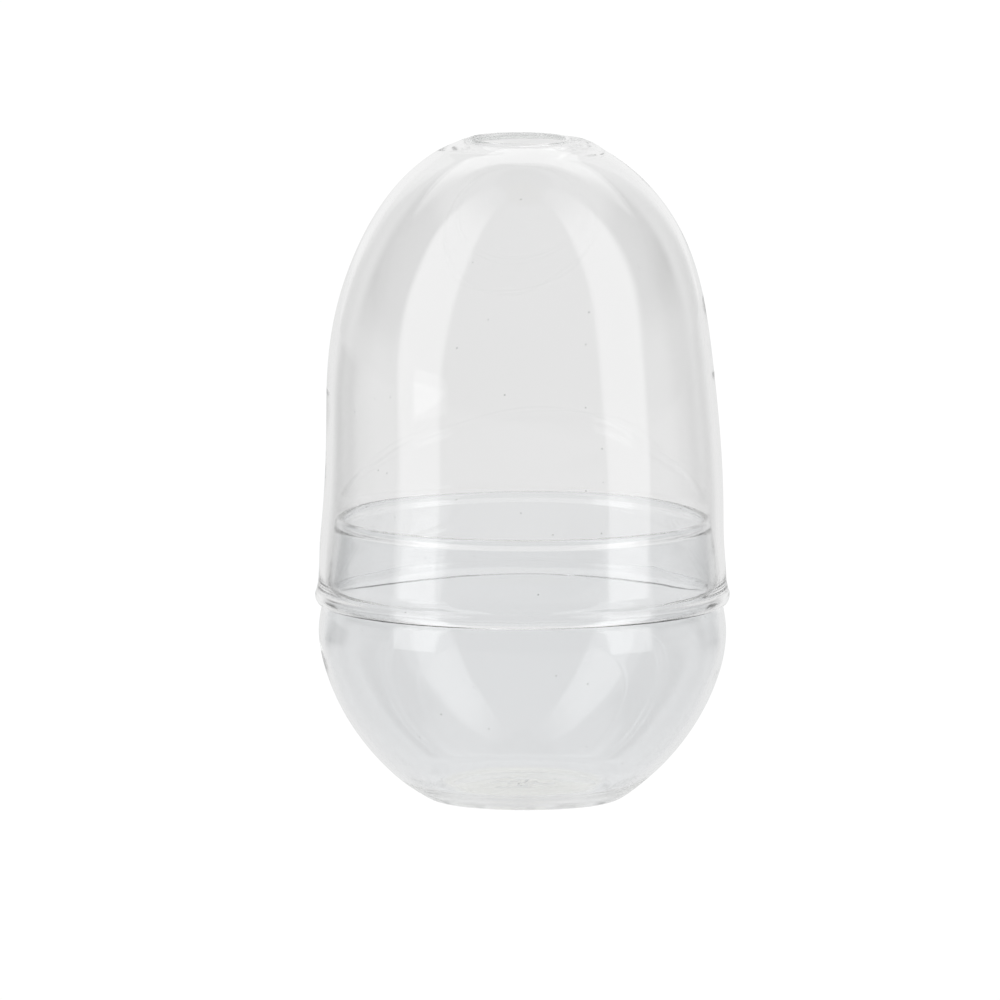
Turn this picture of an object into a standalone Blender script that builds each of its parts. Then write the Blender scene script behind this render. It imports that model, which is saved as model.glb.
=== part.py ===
"""Two-piece blown-glass propagation bell: a round-bottomed bowl, and a vented dome that slips over its collar.

Both pieces are turned shapes about the Z axis. The bowl stands on a flat foot at z = 0. Its shoulder carries the
dome's rolled rim, and its collar rises inside the dome. Lifting the dome straight up opens the bell.
"""

import math

import bmesh
import bpy
import numpy as np

# Every driving size is in metres, except the plain numbers that say how full a curve is.

# The bowl, from the foot upwards.
BOWL_RADIUS = 0.0737
BOWL_WAIST = 0.0618
BOWL_FLATTENING = 0.0096
BOWL_BULGE = 1.72
BOWL_TUCK = 1.90
BOWL_WALL = 0.0022
FOOT_RADIUS = 0.0285
FOOT_BLEND = 0.0025
PUNT_RADIUS = 0.0225
PUNT_DEPTH = 0.0014
FLOOR_THICKNESS = 0.0050
FLOOR_RADIUS = 0.0310
FLOOR_BLEND = 0.0040

# The shoulder that carries the dome, and the collar above it.
SHOULDER_RISE = 0.0104
SHOULDER_ROUND = 0.0010
COLLAR_INSET = 0.0031
COLLAR_HEIGHT = 0.0315
COLLAR_TAPER = 0.0030
COLLAR_SWEEP = 1.6
COLLAR_COVE = 0.0008
COLLAR_RIM_WIDTH = 0.0030
COLLAR_RIM_HEIGHT = 0.0048
NECK_REACH_DOWN = 0.0032
NECK_REACH_UP = 0.0036

# The dome, from its rolled rim upwards.
RIM_WIDTH = 0.0039
RIM_HEIGHT = 0.0064
RIM_PROUD = 0.0010
DOME_WALL = 0.0022
DOME_STRAIGHT = 0.0602
DOME_LEAN = 0.046
CROWN_RISE = 0.1090
CROWN_FULLNESS = 2.92

# The vent at the top of the dome.
VENT_RADIUS = 0.0172
LIP_RADIUS = 0.0020
LIP_SHELF = 0.0016
LIP_STAND = 0.0011

# Clearances between the two pieces.
COLLAR_CLEARANCE = 0.0005
SEAT_GAP = 0.0003

# How finely the shapes are faceted: points round the axis, and along each run of an outline.
SEGMENTS = 56
SMALL_BEND_POINTS = 4
SMALL_COVE_POINTS = 3
FLOOR_BEND_POINTS = 5
COLLAR_RIM_POINTS = 7
DOME_RIM_POINTS = 12
LIP_POINTS = 8
BODY_POINTS = 13
COLLAR_POINTS = 7
NECK_POINTS = 9
INNER_WALL_POINTS = 10
STRAIGHT_POINTS = 5
CROWN_OUTER_POINTS = 13
CROWN_INNER_POINTS = 11
BODY_CROWDING = 1.35
INNER_CROWDING = 1.3
SLOPE_STEP = 1.05
FINE_STEPS = 400
MERGE_DISTANCE = 1e-6
SHARP_ANGLE = math.radians(40)
STEEPEST_LIP = 0.9

# The glass.
GLASS_ROUGHNESS = 0.02
GLASS_IOR = 1.5
BOWL_COLOUR = (0.93, 0.95, 0.96)
DOME_COLOUR = (0.95, 0.96, 0.95)

# Sizes that follow from those above.
BOWL_DEPTH = BOWL_WAIST + BOWL_FLATTENING
SEAT_HEIGHT = BOWL_WAIST + SHOULDER_RISE
COLLAR_RADIUS = BOWL_RADIUS - COLLAR_INSET
COLLAR_TOP = SEAT_HEIGHT + COLLAR_HEIGHT
RIM_INNER_RADIUS = COLLAR_RADIUS + COLLAR_CLEARANCE
RIM_CENTRE_RADIUS = RIM_INNER_RADIUS + RIM_WIDTH / 2
DOME_RADIUS = RIM_INNER_RADIUS + RIM_WIDTH - RIM_PROUD
LIP_CENTRE_RADIUS = VENT_RADIUS + LIP_RADIUS
SHELF_RADIUS = LIP_CENTRE_RADIUS + LIP_RADIUS + LIP_SHELF


def arc(centre, half_width, half_height, start, end, count):
    """Points on an elliptical arc, from the start angle to the end angle, both in radians."""
    angle = np.linspace(start, end, count)
    radius = centre[0] + half_width * np.cos(angle)
    height = centre[1] + half_height * np.sin(angle)
    return np.column_stack((radius, height))


def bend(start, control, end, count):
    """Points on a quadratic curve that leaves start and reaches end along the lines through control."""
    t = np.linspace(0.0, 1.0, count)[:, None]
    start, control, end = (np.array(point) for point in (start, control, end))
    return (1 - t) ** 2 * start + 2 * t * (1 - t) * control + t**2 * end


def inward(curve, wall):
    """A curve that runs upwards, moved towards the inside of the glass by the wall's thickness."""
    tangent = np.gradient(curve, axis=0)
    tangent /= np.linalg.norm(tangent, axis=1)[:, None]
    return curve + wall * np.column_stack((-tangent[:, 1], tangent[:, 0]))


def radius_on(curve, height):
    """The curve's radius at each height, on a curve whose height only rises."""
    return np.interp(height, curve[:, 1], curve[:, 0])


def smooth_step(value):
    """Rises from 0 to 1 with level ends, as value goes from 0 to 1."""
    value = np.clip(value, 0.0, 1.0)
    return value * value * (3 - 2 * value)


def bowl_radius(height):
    """The bowl's outside, fullest at the waist and drawn in towards the foot and the shoulder."""
    reach = np.abs(height - BOWL_WAIST) / BOWL_DEPTH
    return BOWL_RADIUS * (1 - reach**BOWL_BULGE) ** (1 / BOWL_TUCK)


def collar_radius(height):
    """The collar's outside, which draws in ever faster towards its rim."""
    share = np.clip((height - SEAT_HEIGHT) / COLLAR_HEIGHT, 0.0, 1.0)
    return COLLAR_RADIUS - COLLAR_TAPER * share**COLLAR_SWEEP


def shoulder_corner():
    """The centre of the round that turns the bowl's wall into the flat seat."""
    height = SEAT_HEIGHT - SHOULDER_ROUND
    return float(bowl_radius(height)) - SHOULDER_ROUND, height


def bend_into_wall(level, flat_radius, height, wall_radius, count):
    """A bend from a level disc's edge into a wall, which it meets at the given height along the wall's own slope."""
    meet = float(wall_radius(height))
    above = height * SLOPE_STEP
    slope = (float(wall_radius(above)) - meet) / (above - height)
    control = (meet - slope * (height - level), level)
    return bend((flat_radius, level), control, (meet, height), count)


def bowl_inner_curve():
    """The bowl's inside above the floor: the body's inside, drawn in under the shoulder to meet the collar's."""
    height = np.linspace(FOOT_BLEND, COLLAR_TOP, FINE_STEPS)
    body_height = np.linspace(FOOT_BLEND, SEAT_HEIGHT, FINE_STEPS)
    body = inward(np.column_stack((bowl_radius(body_height), body_height)), BOWL_WALL)
    collar = collar_radius(height) - BOWL_WALL
    share = smooth_step((height - SEAT_HEIGHT + NECK_REACH_DOWN) / (NECK_REACH_DOWN + NECK_REACH_UP))
    return np.column_stack(((1 - share) * radius_on(body, height) + share * collar, height))


def bowl_profile():
    """The bowl's outline, from the axis under the foot, up the outside, over the rim and back down to the axis."""
    punt = bend((0.0, PUNT_DEPTH), (PUNT_RADIUS / 2, PUNT_DEPTH), (PUNT_RADIUS, 0.0), SMALL_BEND_POINTS)
    foot = bend_into_wall(0.0, FOOT_RADIUS, FOOT_BLEND, bowl_radius, SMALL_BEND_POINTS)
    corner = shoulder_corner()
    body_share = np.linspace(0.0, 1.0, BODY_POINTS)[1:-1] ** BODY_CROWDING
    body_height = FOOT_BLEND + (corner[1] - FOOT_BLEND) * body_share
    body = np.column_stack((bowl_radius(body_height), body_height))
    shoulder = arc(corner, SHOULDER_ROUND, SHOULDER_ROUND, 0.0, math.pi / 2, SMALL_BEND_POINTS)
    cove_centre = (COLLAR_RADIUS + COLLAR_COVE, SEAT_HEIGHT + COLLAR_COVE)
    cove = arc(cove_centre, COLLAR_COVE, COLLAR_COVE, 1.5 * math.pi, math.pi, SMALL_COVE_POINTS)
    rim_height = COLLAR_TOP - COLLAR_RIM_HEIGHT / 2
    collar_height = np.linspace(cove[-1, 1], rim_height, COLLAR_POINTS)[1:-1]
    collar = np.column_stack((collar_radius(collar_height), collar_height))
    rim_centre = (float(collar_radius(rim_height)) - COLLAR_RIM_WIDTH / 2, rim_height)
    rim = arc(rim_centre, COLLAR_RIM_WIDTH / 2, COLLAR_RIM_HEIGHT / 2, 0.0, math.pi, COLLAR_RIM_POINTS)

    inner = bowl_inner_curve()
    floor_end = FLOOR_THICKNESS + FLOOR_BLEND
    neck_height = np.linspace(rim_height, SEAT_HEIGHT - NECK_REACH_DOWN, NECK_POINTS)[1:-1]
    wall_share = np.linspace(1.0, 0.0, INNER_WALL_POINTS)[1:-1] ** INNER_CROWDING
    wall_height = floor_end + (neck_height[-1] - floor_end) * wall_share
    inner_height = np.concatenate((neck_height, wall_height))
    inside = np.column_stack((radius_on(inner, inner_height), inner_height))

    def inner_radius(height):
        return radius_on(inner, height)

    floor = bend_into_wall(FLOOR_THICKNESS, FLOOR_RADIUS, floor_end, inner_radius, FLOOR_BEND_POINTS)[::-1]
    axis_end = [(0.0, FLOOR_THICKNESS)]
    return np.vstack((punt, foot, body, shoulder, cove, collar, rim, inside, floor, axis_end))


def rim_centre_height():
    """The height at which the dome's rim clears the bowl's shoulder and seat by the seat gap, measured upwards."""
    corner = shoulder_corner()
    radius = np.linspace(RIM_INNER_RADIUS, corner[0] + SHOULDER_ROUND, FINE_STEPS)
    over = np.clip((radius - corner[0]) / SHOULDER_ROUND, 0.0, 1.0)
    shoulder = corner[1] + SHOULDER_ROUND * np.sqrt(1 - over**2)
    across = np.clip((radius - RIM_CENTRE_RADIUS) / (RIM_WIDTH / 2), -1.0, 1.0)
    underside = RIM_HEIGHT / 2 * np.sqrt(1 - across**2)
    return float(np.max(shoulder + underside)) + SEAT_GAP


def dome_outer_curve(rim_height):
    """The dome's outside, a slightly leaning wall that turns over into a full crown."""
    turn = rim_height + DOME_STRAIGHT
    crown_height = turn + CROWN_RISE * np.sin(np.linspace(0.0, math.pi / 2, FINE_STEPS))
    height = np.concatenate((np.linspace(rim_height, turn, FINE_STEPS)[:-1], crown_height))
    reach = np.clip((height - turn) / CROWN_RISE, 0.0, 1.0)
    wall = DOME_RADIUS - DOME_LEAN * (height - rim_height)
    return np.column_stack((wall * np.sqrt(1 - reach**CROWN_FULLNESS), height))


def even_heights(start, turn, end, straight_count, crown_count):
    """Heights up the dome, even along the wall and closer together towards the top of the crown."""
    angle = math.asin((end - turn) / CROWN_RISE)
    crown = turn + CROWN_RISE * np.sin(np.linspace(0.0, angle, crown_count))
    return np.concatenate((np.linspace(start, turn, straight_count)[:-1], crown))


def dome_profile():
    """The dome's outline, round the vent's lip, down the outside, round the rolled rim and up the inside."""
    rim_height = rim_centre_height()
    rim_centre = (RIM_CENTRE_RADIUS, rim_height)
    turn = rim_height + DOME_STRAIGHT
    outer = dome_outer_curve(rim_height)
    shelf_height = float(np.interp(-SHELF_RADIUS, -outer[:, 0], outer[:, 1]))
    lip_centre = (LIP_CENTRE_RADIUS, shelf_height + LIP_STAND - LIP_RADIUS)
    inner = inward(outer, DOME_WALL)

    outer_meet = math.acos((DOME_RADIUS - RIM_CENTRE_RADIUS) / (RIM_WIDTH / 2))
    inner_meet = math.acos((DOME_RADIUS - DOME_WALL - RIM_CENTRE_RADIUS) / (RIM_WIDTH / 2))
    rim = arc(rim_centre, RIM_WIDTH / 2, RIM_HEIGHT / 2, outer_meet, inner_meet - 2 * math.pi, DOME_RIM_POINTS)

    outer_height = even_heights(rim[0, 1], turn, shelf_height, STRAIGHT_POINTS, CROWN_OUTER_POINTS)[1:]
    outside = np.column_stack((radius_on(outer, outer_height), outer_height))
    inner_end = lip_centre[1] - LIP_RADIUS
    inner_height = even_heights(rim[-1, 1], turn, inner_end, STRAIGHT_POINTS, CROWN_INNER_POINTS)[1:]
    inside = np.column_stack((radius_on(inner, inner_height), inner_height))

    shelf_angle = math.asin(max(-STEEPEST_LIP, min(STEEPEST_LIP, 1 - LIP_STAND / LIP_RADIUS)))
    lip = arc(lip_centre, LIP_RADIUS, LIP_RADIUS, 1.5 * math.pi, shelf_angle, LIP_POINTS)
    return np.vstack((outside[::-1], rim, inside, lip))


def turned(name, profile, closed, material):
    """A solid of revolution about Z from a radius and height profile; an open profile starts and ends on the axis."""
    mesh = bpy.data.meshes.new(name)
    shape = bmesh.new()
    points = [shape.verts.new((float(radius), 0.0, float(height))) for radius, height in profile]
    pairs = list(zip(points[:-1], points[1:]))
    if closed:
        pairs.append((points[-1], points[0]))
    edges = [shape.edges.new(pair) for pair in pairs]
    bmesh.ops.spin(
        shape,
        geom=points + edges,
        cent=(0.0, 0.0, 0.0),
        axis=(0.0, 0.0, 1.0),
        angle=2 * math.pi,
        steps=SEGMENTS,
        use_merge=True,
    )
    bmesh.ops.remove_doubles(shape, verts=shape.verts, dist=MERGE_DISTANCE)
    bmesh.ops.recalc_face_normals(shape, faces=shape.faces)
    shape.to_mesh(mesh)
    shape.free()
    mesh.materials.append(material)
    mesh.shade_smooth()
    mesh.set_sharp_from_angle(angle=SHARP_ANGLE)
    solid = bpy.data.objects.new(name, mesh)
    bpy.context.scene.collection.objects.link(solid)
    return solid


def clear_glass(name, colour):
    """Clear glass with a faint tint."""
    material = bpy.data.materials.new(name)
    material.use_nodes = True
    shader = material.node_tree.nodes["Principled BSDF"]
    shader.inputs["Base Color"].default_value = (*colour, 1.0)
    shader.inputs["Roughness"].default_value = GLASS_ROUGHNESS
    shader.inputs["Metallic"].default_value = 0.0
    shader.inputs["IOR"].default_value = GLASS_IOR
    shader.inputs["Transmission Weight"].default_value = 1.0
    return material


def main():
    for old in list(bpy.data.objects):
        bpy.data.objects.remove(old, do_unlink=True)
    turned("glass_bowl", bowl_profile(), False, clear_glass("bowl_glass", BOWL_COLOUR))
    turned("glass_dome", dome_profile(), True, clear_glass("dome_glass", DOME_COLOUR))


main()
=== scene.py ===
"""Looks of a two-piece blown-glass propagation bell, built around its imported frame.

A round-bottomed bowl stands on a flat foot, and a tall vented dome slips over its collar. Both are clear,
hand-blown glass. Each piece here is a fine surface of revolution with the small wanderings of hand work. It
takes its place and its overall size from the CAD node that it replaces.
"""

import logging
import math
from collections.abc import Callable
from dataclasses import dataclass
from enum import Enum

import bpy
import numpy as np
from mathutils import Matrix, Vector


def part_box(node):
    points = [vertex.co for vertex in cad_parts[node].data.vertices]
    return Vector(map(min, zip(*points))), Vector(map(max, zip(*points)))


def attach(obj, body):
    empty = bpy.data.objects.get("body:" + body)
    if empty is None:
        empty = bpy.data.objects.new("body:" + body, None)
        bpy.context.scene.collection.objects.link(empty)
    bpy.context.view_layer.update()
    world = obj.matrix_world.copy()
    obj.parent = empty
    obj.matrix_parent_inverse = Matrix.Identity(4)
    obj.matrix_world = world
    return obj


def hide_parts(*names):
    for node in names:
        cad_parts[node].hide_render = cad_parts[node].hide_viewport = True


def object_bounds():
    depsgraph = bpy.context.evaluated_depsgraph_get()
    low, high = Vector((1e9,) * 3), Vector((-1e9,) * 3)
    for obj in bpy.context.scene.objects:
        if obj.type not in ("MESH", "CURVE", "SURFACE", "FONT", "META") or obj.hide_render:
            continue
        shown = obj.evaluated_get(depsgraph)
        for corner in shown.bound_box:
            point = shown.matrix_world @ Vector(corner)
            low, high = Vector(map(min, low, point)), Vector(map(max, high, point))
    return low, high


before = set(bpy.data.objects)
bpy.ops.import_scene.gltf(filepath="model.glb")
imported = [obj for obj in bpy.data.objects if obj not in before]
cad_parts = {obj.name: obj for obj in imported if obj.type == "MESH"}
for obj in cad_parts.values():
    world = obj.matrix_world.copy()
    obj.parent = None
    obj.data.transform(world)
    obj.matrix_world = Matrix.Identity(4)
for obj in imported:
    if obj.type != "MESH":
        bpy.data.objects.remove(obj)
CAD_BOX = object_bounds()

LOG = logging.getLogger("glass_bell")

Colour = tuple[float, float, float]
Point = tuple[float, float]

WHITE = (1.0, 1.0, 1.0, 1.0)
SURROUND_LEVEL = 0.62  # How bright the room is all round, which the light panels fade to at their edges.

CURVE_POINTS = 96  # On one arc or bend.
WALL_POINTS = 900  # On the long sides of an outline.
SAME_PLACE = 1e-9  # Points closer than this, in metres, count as one.
BLUR_TAIL = 4  # How many standard deviations a blur reaches.
TURN_OVER_RINGS = 24.0  # Rings over which the outer surface becomes the inner one.


# ----------------------------------------------------------------------------------------------------------
# Shader graphs
# ----------------------------------------------------------------------------------------------------------


class Signal:
    """One number or vector that flows through a shader, which maths can be written with."""

    def __init__(self, graph: "Graph", socket: bpy.types.NodeSocket) -> None:
        """Wraps an output socket.

        Args:
            graph: The graph that new nodes are added to.
            socket: The output that carries the value.
        """
        self.graph = graph
        self.socket = socket

    def _maths(self, operation: str, first: "Operand", second: "Operand") -> "Signal":
        """Adds one Math node.

        Args:
            operation: The Math node's operation.
            first: Its first value.
            second: Its second value.

        Returns:
            The node's result.
        """
        return self.graph.signal("ShaderNodeMath", {"operation": operation}, {0: first, 1: second})

    def __add__(self, other: "Operand") -> "Signal":
        """Self plus other."""
        return self._maths("ADD", self, other)

    def __radd__(self, other: "Operand") -> "Signal":
        """Other plus self."""
        return self._maths("ADD", other, self)

    def __sub__(self, other: "Operand") -> "Signal":
        """Self minus other."""
        return self._maths("SUBTRACT", self, other)

    def __rsub__(self, other: "Operand") -> "Signal":
        """Other minus self."""
        return self._maths("SUBTRACT", other, self)

    def __mul__(self, other: "Operand") -> "Signal":
        """Self times other."""
        return self._maths("MULTIPLY", self, other)

    def __rmul__(self, other: "Operand") -> "Signal":
        """Other times self."""
        return self._maths("MULTIPLY", other, self)

    def size(self) -> "Signal":
        """The value without its sign."""
        return self._maths("ABSOLUTE", self, 0.0)

    def step(self, low: float, high: float) -> "Signal":
        """A smooth rise from 0 to 1.

        Args:
            low: Where the rise starts.
            high: Where it ends; a high below low makes it fall instead.

        Returns:
            The stepped value.
        """
        settings = {"interpolation_type": "SMOOTHSTEP"}
        if high > low:
            return self.graph.signal("ShaderNodeMapRange", settings, {"Value": self, 1: low, 2: high})
        return 1.0 - self.graph.signal("ShaderNodeMapRange", settings, {"Value": self, 1: high, 2: low})


Operand = float | tuple | Signal


class Graph:
    """A node tree that is written from nothing."""

    def __init__(self, tree: bpy.types.NodeTree) -> None:
        """Empties the tree.

        Args:
            tree: The tree of a material or a world.
        """
        self.tree = tree
        tree.nodes.clear()

    def node(
        self, kind: str, settings: dict[str, object], inputs: dict[int | str, Operand]
    ) -> bpy.types.Node:
        """Adds any node.

        Args:
            kind: The node's type.
            settings: Its own settings, which are set first.
            inputs: A value or a link for each socket that isn't left at its default.

        Returns:
            The new node.
        """
        made = self.tree.nodes.new(kind)
        for name, setting in settings.items():
            setattr(made, name, setting)
        for key, given in inputs.items():
            if isinstance(given, Signal):
                self.tree.links.new(given.socket, made.inputs[key])
            else:
                made.inputs[key].default_value = given
        return made

    def signal(
        self,
        kind: str,
        settings: dict[str, object],
        inputs: dict[int | str, Operand],
        output: int | str = 0,
    ) -> Signal:
        """Adds any node and wraps one of its outputs.

        Args:
            kind: The node's type.
            settings: Its own settings.
            inputs: A value or a link for each socket that isn't left at its default.
            output: The output to wrap.

        Returns:
            The wrapped output.
        """
        return Signal(self, self.node(kind, settings, inputs).outputs[output])

    def mixed(self, factor: Operand, first: Colour | Signal, second: Colour | Signal) -> Signal:
        """A colour between two.

        Args:
            factor: 0 gives the first colour and 1 the second.
            first: The first colour.
            second: The second colour.

        Returns:
            The mixed colour.
        """
        first, second = (given if isinstance(given, Signal) else (*given, 1.0) for given in (first, second))
        inputs = {"Factor": factor, 6: first, 7: second}
        return self.signal("ShaderNodeMix", {"data_type": "RGBA"}, inputs, 2)

    def parts(self, vector: Signal) -> tuple[Signal, Signal, Signal]:
        """The x, y and z of a vector.

        Args:
            vector: The vector.

        Returns:
            Its three parts.
        """
        split = self.node("ShaderNodeSeparateXYZ", {}, {"Vector": vector})
        return tuple(Signal(self, split.outputs[k]) for k in range(3))

    def length(self, vector: Signal) -> Signal:
        """How long a vector is."""
        return self.signal("ShaderNodeVectorMath", {"operation": "LENGTH"}, {0: vector}, "Value")

    def to_camera(self, level: Signal, shown: float) -> Signal:
        """One level for the glass and another straight to the camera.

        Args:
            level: What the glass reflects and refracts.
            shown: What the camera sees where nothing is in front.

        Returns:
            The level for each ray.
        """
        seen = self.signal("ShaderNodeLightPath", {}, {}, "Is Camera Ray")
        return level + seen * (shown - level)

    def end(self, kind: str, shaders: dict[str, bpy.types.Node]) -> None:
        """Adds the output node and joins the shaders to it.

        Args:
            kind: The output node's type.
            shaders: The shader for each of its sockets.
        """
        output = self.node(kind, {}, {})
        for name, shader in shaders.items():
            self.tree.links.new(shader.outputs[0], output.inputs[name])

    def end_in_glow(self, strength: Signal) -> None:
        """Ends a material's graph in white light of that strength."""
        glow = self.node("ShaderNodeEmission", {}, {"Color": WHITE, "Strength": strength})
        self.end("ShaderNodeOutputMaterial", {"Surface": glow})


def new_material(name: str) -> tuple[bpy.types.Material, Graph]:
    """Makes a material with an empty node tree.

    Args:
        name: The material's name.

    Returns:
        The material and its graph.
    """
    made = bpy.data.materials.new(name)
    made.use_nodes = True
    return made, Graph(made.node_tree)


# ----------------------------------------------------------------------------------------------------------
# Finishes
# ----------------------------------------------------------------------------------------------------------


@dataclass(frozen=True)
class ClearGlass:
    """Clear blown glass: a faint cast, slow waves, drawn streaks, small seeds and a few dull marks.

    Sizes are in metres. The base, where it has a height, is the thick glass at the bottom with its own cast.
    """

    name: str
    tint: Colour
    cast: Colour
    depth_colour: Colour
    depth_density: float
    ior: float = 1.5
    cloud_size: float = 0.075
    cloud_detail: float = 2.0
    cast_from: Point = (0.35, 0.70)
    marks: float = 0.012
    marks_from: Point = (0.52, 0.80)
    noise_roughness: float = 0.45
    wave_size: float = 0.030
    wave_depth: float = 0.000020
    streak_size: float = 0.0035
    streak_length: float = 14.0
    streak_depth: float = 0.0000016
    relief_detail: float = 1.0
    seed_spacing: float = 0.0060
    seed_radius: float = 0.00034
    seed_fade: Point = (1.15, 0.75)
    seed_share: float = 0.14
    seed_pick_fade: float = 0.01
    seed_zone: Point = (0.018, 0.030)
    seed_colour: Colour = (0.42, 0.43, 0.42)
    base_cast: Colour = (0.930, 0.924, 0.870)
    base_height: float = 0.0
    base_height_fade: float = 0.7
    base_radius: float = 0.031
    base_radius_fade: float = 0.85

    def material(self) -> bpy.types.Material:
        """Builds the finish.

        Returns:
            The material.
        """
        made, graph = new_material(self.name)
        place = graph.signal("ShaderNodeTexCoord", {}, {}, "Object")
        cloud = self._noise(graph, place, 1.0 / self.cloud_size, self.cloud_detail)
        body = graph.mixed(cloud.step(*self.cast_from), self.tint, self.cast)
        if self.base_height > 0.0:
            body = graph.mixed(self._base(graph, place), body, self.base_cast)
        surface = {
            "Base Color": graph.mixed(self._seeds(graph, place), body, self.seed_colour),
            "Roughness": cloud.step(*self.marks_from) * self.marks,
            "Normal": self._relief(graph, place),
            "IOR": self.ior,
            "Transmission Weight": 1.0,
        }
        shader = graph.node("ShaderNodeBsdfPrincipled", {}, surface)
        inside = {"Color": (*self.depth_colour, 1.0), "Density": self.depth_density}
        depth = graph.node("ShaderNodeVolumeAbsorption", {}, inside)
        graph.end("ShaderNodeOutputMaterial", {"Surface": shader, "Volume": depth})
        return made

    def _base(self, graph: Graph, place: Signal) -> Signal:
        """The thick base: a smooth fall with height, times a smooth fall with the distance from the axis.

        Args:
            graph: The material's graph.
            place: Where on the piece.

        Returns:
            1 in the base and 0 elsewhere.
        """
        level = {0: place, 1: (1.0, 1.0, 0.0)}
        flat = graph.signal("ShaderNodeVectorMath", {"operation": "MULTIPLY"}, level)
        low = graph.parts(place)[2].step(self.base_height, self.base_height * self.base_height_fade)
        near = graph.length(flat).step(self.base_radius, self.base_radius * self.base_radius_fade)
        return low * near

    def _noise(self, graph: Graph, place: Signal, scale: float, detail: float) -> Signal:
        """Soft noise between 0 and 1.

        Args:
            graph: The material's graph.
            place: Where on the piece.
            scale: How many waves to a metre.
            detail: How many finer layers it has.

        Returns:
            The noise.
        """
        inputs = {"Vector": place, "Scale": scale, "Detail": detail, "Roughness": self.noise_roughness}
        return graph.signal("ShaderNodeTexNoise", {}, inputs, "Fac")

    def _relief(self, graph: Graph, place: Signal) -> Signal:
        """Slow waves from blowing and fine streaks drawn up the wall.

        Args:
            graph: The material's graph.
            place: Where on the piece.

        Returns:
            The bent normal.
        """
        stretch = (1.0, 1.0, 1.0 / self.streak_length)
        drawn = graph.signal("ShaderNodeMapping", {}, {"Vector": place, "Scale": stretch})
        waves = self._noise(graph, place, 1.0 / self.wave_size, self.relief_detail) * self.wave_depth
        streaks = self._noise(graph, drawn, 1.0 / self.streak_size, self.relief_detail) * self.streak_depth
        return graph.signal("ShaderNodeBump", {}, {"Height": waves + streaks, "Distance": 1.0})

    def _seeds(self, graph: Graph, place: Signal) -> Signal:
        """Small round seeds in some of the cells of a scattered grid, away from the sides.

        Args:
            graph: The material's graph.
            place: Where on the piece.

        Returns:
            1 inside a seed and 0 elsewhere.
        """
        grid = {"Vector": place, "Scale": 1.0 / self.seed_spacing, "Randomness": 1.0}
        cells = graph.node("ShaderNodeTexVoronoi", {}, grid)
        distance = Signal(graph, cells.outputs["Distance"])
        pick = graph.signal("ShaderNodeSeparateColor", {}, {"Color": Signal(graph, cells.outputs["Color"])})
        size = self.seed_radius / self.seed_spacing
        least = 1.0 - self.seed_share
        round_seed = distance.step(size * self.seed_fade[0], size * self.seed_fade[1])
        facing = graph.parts(place)[1].size().step(*self.seed_zone)
        return round_seed * pick.step(least, least + self.seed_pick_fade) * facing


@dataclass(frozen=True)
class Glow:
    """A panel's light: full in its middle, and down to the surround's own level at its edges."""

    name: str
    strength: float
    soft_edge: float
    soft_top: float = 0.10
    edge_strength: float = SURROUND_LEVEL

    def material(self) -> bpy.types.Material:
        """Builds the finish.

        Returns:
            The material.
        """
        made, graph = new_material(self.name)
        fade = self._fade(graph)
        graph.end_in_glow(fade * (self.strength - self.edge_strength) + self.edge_strength)
        return made

    def _fade(self, graph: Graph) -> Signal:
        """The fall-off towards the panel's sides and top, from its UV map.

        Args:
            graph: The material's graph.

        Returns:
            1 in the middle and 0 at the edges.
        """
        across, up, _ = graph.parts(graph.signal("ShaderNodeUVMap", {}, {}))
        edge = self.soft_edge
        sides = across.step(0.0, edge) * across.step(1.0, 1.0 - edge)
        return sides * up.step(1.0, 1.0 - self.soft_top)


@dataclass(frozen=True)
class FloorGlow:
    """The lit floor: white to the camera, and in the glass pale behind and dimmer beside the backdrop."""

    name: str = "floor_glow"
    seen_strength: float = 1.03
    behind: float = 0.82
    around: float = 0.80
    dim_left: float = 0.34
    dim_right: float = 0.52
    dim_start: Point = (0.54, 0.74)
    dim_end: Point = (0.86, 0.97)
    left_to_right: Point = (-0.1, 0.1)
    front_to_back: Point = (-0.05, 0.15)
    near: Point = (0.20, 0.45)

    def material(self) -> bpy.types.Material:
        """Builds the finish.

        Returns:
            The material.
        """
        made, graph = new_material(self.name)
        place = graph.signal("ShaderNodeTexCoord", {}, {}, "Object")
        way = graph.signal("ShaderNodeVectorMath", {"operation": "NORMALIZE"}, {0: place})
        side, back, _ = graph.parts(way)
        turned_out = side.size()
        far = graph.length(place).step(*self.near)
        inside = back.step(*self.front_to_back)
        backdrop = inside * turned_out.step(*self.dim_start[::-1])
        open_level = (1.0 - backdrop) * (self.around - self.behind) + self.behind
        shade = far * inside * turned_out.step(*self.dim_start) * turned_out.step(*self.dim_end[::-1])
        dim = side.step(*self.left_to_right) * (self.dim_right - self.dim_left) + self.dim_left
        lit = open_level + shade * (dim - open_level)
        lit = lit + (1.0 - far) * (self.behind - lit)
        graph.end_in_glow(graph.to_camera(lit, self.seen_strength))
        return made


# ----------------------------------------------------------------------------------------------------------
# Outlines and turned surfaces
# ----------------------------------------------------------------------------------------------------------


def arc(centre: Point, half_width: float, half_height: float, start: float, end: float) -> np.ndarray:
    """Points on an elliptical arc: the centre plus the half sizes times the angle's cosine and sine.

    Args:
        centre: The arc's centre, as radius and height.
        half_width: Half its width.
        half_height: Half its height.
        start: The start angle in radians.
        end: The end angle in radians.

    Returns:
        The points, one row each.
    """
    angle = np.linspace(start, end, CURVE_POINTS)
    return np.column_stack((centre[0] + half_width * np.cos(angle), centre[1] + half_height * np.sin(angle)))


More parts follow.
